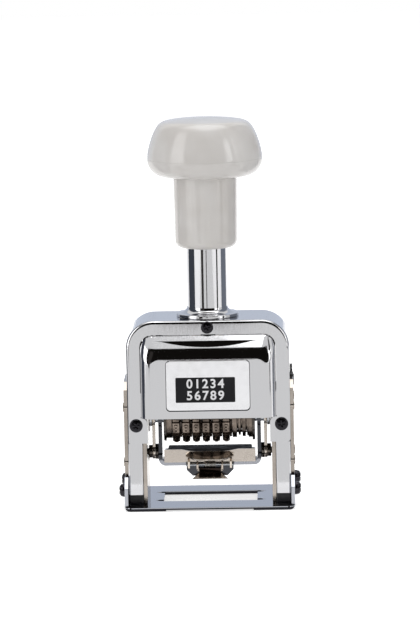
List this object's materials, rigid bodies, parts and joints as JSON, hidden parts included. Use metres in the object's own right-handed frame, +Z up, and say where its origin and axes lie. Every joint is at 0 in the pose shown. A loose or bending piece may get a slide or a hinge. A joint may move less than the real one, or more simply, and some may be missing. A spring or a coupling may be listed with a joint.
{
  "type": "automatic numbering machine",
  "caption": "Self-inking hand numbering machine: sprung plunger with a round knob in a chrome arch on a windowed base, number wheels and a swinging ink pad.",
  "frame": {"origin": "middle of the base plate's footprint, on the table", "axes": "+Z up along the plunger, +X to the right seen from the front, +Y to the back"},
  "size_m": [0.0724, 0.048, 0.1542],
  "materials": {
    "chrome_plate": "polished chrome plate",
    "nickel_sheet": "warm nickel plate, satin",
    "black_screw": "blackened steel",
    "black_rubber": "matt rubber",
    "label_silver": "satin silver",
    "label_black": "matt black film",
    "knob_plastic": "glossy moulded plastic, pale grey",
    "zinc_steel": "turned, zinc plated",
    "spring_steel": "drawn wire and spring strip",
    "bush_brass": "turned brass",
    "dark_steel": "dark nickel plate",
    "wheel_bronze": "gunmetal, engraved",
    "pad_felt": "inked felt",
    "dial_black": "moulded black"
  },
  "bodies": {
    "frame": {"base_plate": "chrome_plate", "base_screws_left": "black_screw", "base_screws_right": "black_screw", "foot_buffers": "black_rubber", "front_post_left": "chrome_plate", "front_post_right": "chrome_plate", "rear_post_left": "chrome_plate", "rear_post_right": "chrome_plate", "guide_plate_left": "nickel_sheet", "guide_plate_right": "nickel_sheet", "side_plate_left": "nickel_sheet", "side_plate_right": "nickel_sheet", "side_rivets": "nickel_sheet", "arch_frame": "chrome_plate", "face_screws": "black_screw", "rear_screws": "black_screw", "front_cover": "chrome_plate", "rear_cover": "chrome_plate", "label_plate": "label_silver", "label_field": "label_black", "collar_flange": "chrome_plate", "guide_tube": "chrome_plate", "ring_nut": "zinc_steel", "tube_bush": "bush_brass", "return_spring": "spring_steel"},
    "plunger": {"knob_cap": "knob_plastic", "knob_base": "knob_plastic", "handle_sleeve": "knob_plastic", "plunger_rod": "zinc_steel", "rod_nuts": "zinc_steel", "spring_seat": "zinc_steel", "carriage_frame": "dark_steel", "guide_blocks": "bush_brass", "tie_rods": "zinc_steel", "wheel_axle": "zinc_steel", "axle_nuts": "zinc_steel", "wheel_spacers": "wheel_bronze", "detent_comb": "spring_steel", "feed_shaft": "zinc_steel"},
    "feed_comb": {"feed_comb": "dark_steel", "feed_fingers": "dark_steel"},
    "pad_yoke": {"pad_yoke": "dark_steel", "yoke_links": "nickel_sheet", "yoke_rollers": "dark_steel"},
    "pad_tray": {"pad_tray": "nickel_sheet", "ink_pad": "pad_felt", "latch_pin": "zinc_steel"},
    "latch_lever": {"latch_lever": "dark_steel", "latch_spring": "spring_steel"},
    "selector": {"selector_dial": "dial_black", "selector_screw": "dial_black"},
    "number_wheel_1": {"number_wheel_1": "wheel_bronze", "ratchet_1": "wheel_bronze"},
    "number_wheel_2": {"number_wheel_2": "wheel_bronze", "ratchet_2": "wheel_bronze"},
    "number_wheel_3": {"number_wheel_3": "wheel_bronze", "ratchet_3": "wheel_bronze"},
    "number_wheel_4": {"number_wheel_4": "wheel_bronze", "ratchet_4": "wheel_bronze"},
    "number_wheel_5": {"number_wheel_5": "wheel_bronze", "ratchet_5": "wheel_bronze"},
    "number_wheel_6": {"number_wheel_6": "wheel_bronze", "ratchet_6": "wheel_bronze"}
  },
  "joints": [
    {"name": "plunger_slide", "type": "slide", "parent": "frame", "child": "plunger", "axis": [0, 0, -1], "range_m": [0, 0.0233], "stiffness_N_per_m": 420, "springref_m": -0.014, "deforming": ["return_spring"]},
    {"name": "yoke_swing", "type": "hinge", "parent": "plunger", "child": "pad_yoke", "pos_m": [0, 0, 0.0337], "axis": [1, 0, 0], "range_deg": [0, 130]},
    {"name": "feed_rock", "type": "hinge", "parent": "plunger", "child": "feed_comb", "pos_m": [0, -0.001, 0.0482], "axis": [1, 0, 0], "range_deg": [0, 15]},
    {"name": "tray_slide", "type": "slide", "parent": "pad_yoke", "child": "pad_tray", "axis": [0, -1, 0], "range_m": [0, 0.012]},
    {"name": "latch_pinch", "type": "hinge", "parent": "pad_tray", "child": "latch_lever", "pos_m": [0, -0.0086, 0.0159], "axis": [-1, 0, 0], "range_deg": [0, 25], "stiffness_Nm_per_rad": 0.012, "springref_deg": -17.19},
    {"name": "selector_turn", "type": "hinge", "parent": "frame", "child": "selector", "pos_m": [0.0325, 0.003, 0.048], "axis": [1, 0, 0], "range_deg": [0, 270]},
    {"name": "wheel_1_spin", "type": "hinge", "parent": "plunger", "child": "number_wheel_1", "pos_m": [0, 0, 0.0337], "axis": [1, 0, 0], "continuous": true},
    {"name": "wheel_2_spin", "type": "hinge", "parent": "plunger", "child": "number_wheel_2", "pos_m": [0, 0, 0.0337], "axis": [1, 0, 0], "continuous": true},
    {"name": "wheel_3_spin", "type": "hinge", "parent": "plunger", "child": "number_wheel_3", "pos_m": [0, 0, 0.0337], "axis": [1, 0, 0], "continuous": true},
    {"name": "wheel_4_spin", "type": "hinge", "parent": "plunger", "child": "number_wheel_4", "pos_m": [0, 0, 0.0337], "axis": [1, 0, 0], "continuous": true},
    {"name": "wheel_5_spin", "type": "hinge", "parent": "plunger", "child": "number_wheel_5", "pos_m": [0, 0, 0.0337], "axis": [1, 0, 0], "continuous": true},
    {"name": "wheel_6_spin", "type": "hinge", "parent": "plunger", "child": "number_wheel_6", "pos_m": [0, 0, 0.0337], "axis": [1, 0, 0], "continuous": true}
  ],
  "couplings": [
    {"joint": "yoke_swing", "follows": "plunger_slide", "rad_per_m": 97.379},
    {"joint": "feed_rock", "follows": "plunger_slide", "rad_per_m": 11.235}
  ]
}
